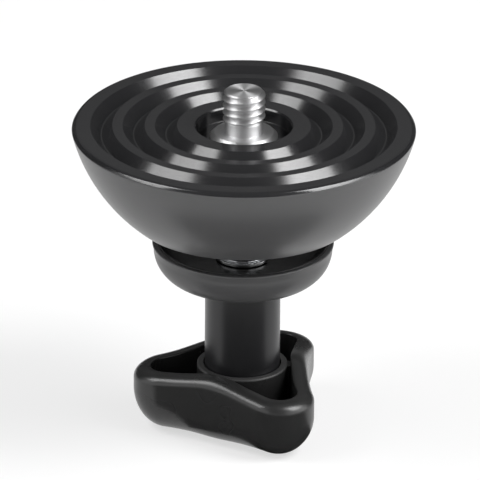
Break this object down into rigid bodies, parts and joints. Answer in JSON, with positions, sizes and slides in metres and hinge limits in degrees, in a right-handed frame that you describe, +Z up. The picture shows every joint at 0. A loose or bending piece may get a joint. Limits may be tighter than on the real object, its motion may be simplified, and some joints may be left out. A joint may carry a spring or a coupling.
{
  "type": "tripod half ball adapter",
  "caption": "Half ball with a threaded stud on its grooved flat face, and a clamp cup below it that a knob on a long stem draws up to hold it in a tripod bowl.",
  "frame": {"origin": "centre of the knob's flat underside, which the adapter stands on", "axes": "+Z up along the stud and the draw rod, -Y towards the picture's camera, -X along one lobe of the knob"},
  "size_m": [0.075, 0.075, 0.0795],
  "materials": {
    "anodised": "satin black anodised aluminium with fine turning marks",
    "stainless": "bright turned stainless steel",
    "zinc": "zinc plated steel",
    "cup_black": "satin black, glossy inside",
    "sleeve_black": "glossy black enamel",
    "knob_black": "moulded black plastic, half gloss",
    "nylon": "black nylon"
  },
  "bodies": {
    "ball": {"half_ball": "anodised", "mounting_stud": "stainless", "draw_rod": "zinc", "rod_lock_washer": "zinc", "rod_lock_nut": "zinc", "stop_washer": "zinc", "stop_nut": "zinc"},
    "carriage": {"thrust_washer": "nylon"},
    "handle": {"stem_sleeve": "sleeve_black", "threaded_insert": "zinc", "retaining_ring": "zinc", "knob_body": "knob_black", "bottom_plug": "knob_black"},
    "cup": {"clamp_cup": "cup_black"}
  },
  "joints": [
    {"name": "clamp_lift", "type": "slide", "parent": "ball", "child": "carriage", "axis": [0, 0, 1], "range_m": [-0.01, 0.00562]},
    {"name": "knob_turn", "type": "hinge", "parent": "carriage", "child": "handle", "pos_m": [0, 0, 0.02], "axis": [0, 0, 1], "range_deg": [-2880, 1620]},
    {"name": "cup_spin", "type": "hinge", "parent": "carriage", "child": "cup", "pos_m": [0, 0, 0.0352], "axis": [0, 0, 1], "continuous": true}
  ],
  "couplings": [
    {"joint": "clamp_lift", "follows": "knob_turn", "m_per_rad": 0.00019894}
  ]
}
